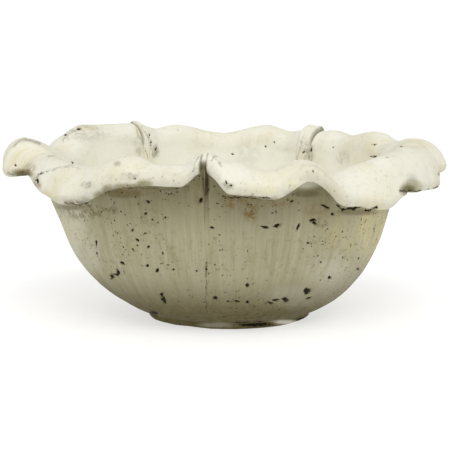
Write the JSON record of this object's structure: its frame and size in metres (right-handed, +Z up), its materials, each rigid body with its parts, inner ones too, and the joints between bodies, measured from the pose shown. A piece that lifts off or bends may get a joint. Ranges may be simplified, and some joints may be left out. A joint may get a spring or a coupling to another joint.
{
  "type": "ruffled ceramic planter",
  "caption": "Low ceramic planter bowl with a ruffled, turned-out lip pleated at its seams, on a low foot ring, in distressed off-white paint, with a lift-out drain plug.",
  "frame": {"origin": "middle of the bowl's footprint on the plane it stands on, 3.5 mm to the left of the foot ring's centre", "axes": "+Z up out of the bowl, +X to the right and -Y towards the viewer, with the front pleat facing -Y"},
  "size_m": [0.4477, 0.4166, 0.1814],
  "materials": {
    "painted_wall": "matte paint, worn and pitted",
    "painted_seam": "matte paint, worn and pitted",
    "bare_foot": "worn to the clay",
    "plug_rubber": "matte"
  },
  "bodies": {
    "bowl": {"foot_ring": "bare_foot", "base_dish": "painted_wall", "petal_front_right": "painted_wall", "petal_right": "painted_wall", "petal_back": "painted_wall", "petal_left": "painted_wall", "petal_front_left": "painted_wall", "seam_front": "painted_seam", "seam_right": "painted_seam", "seam_back_right": "painted_seam", "seam_back_left": "painted_seam", "seam_left": "painted_seam"},
    "plug": {"drain_plug": "plug_rubber"}
  },
  "joints": [
    {"name": "plug_lift", "type": "slide", "parent": "bowl", "child": "plug", "axis": [0, 0, 1], "range_m": [0, 0.19]}
  ]
}
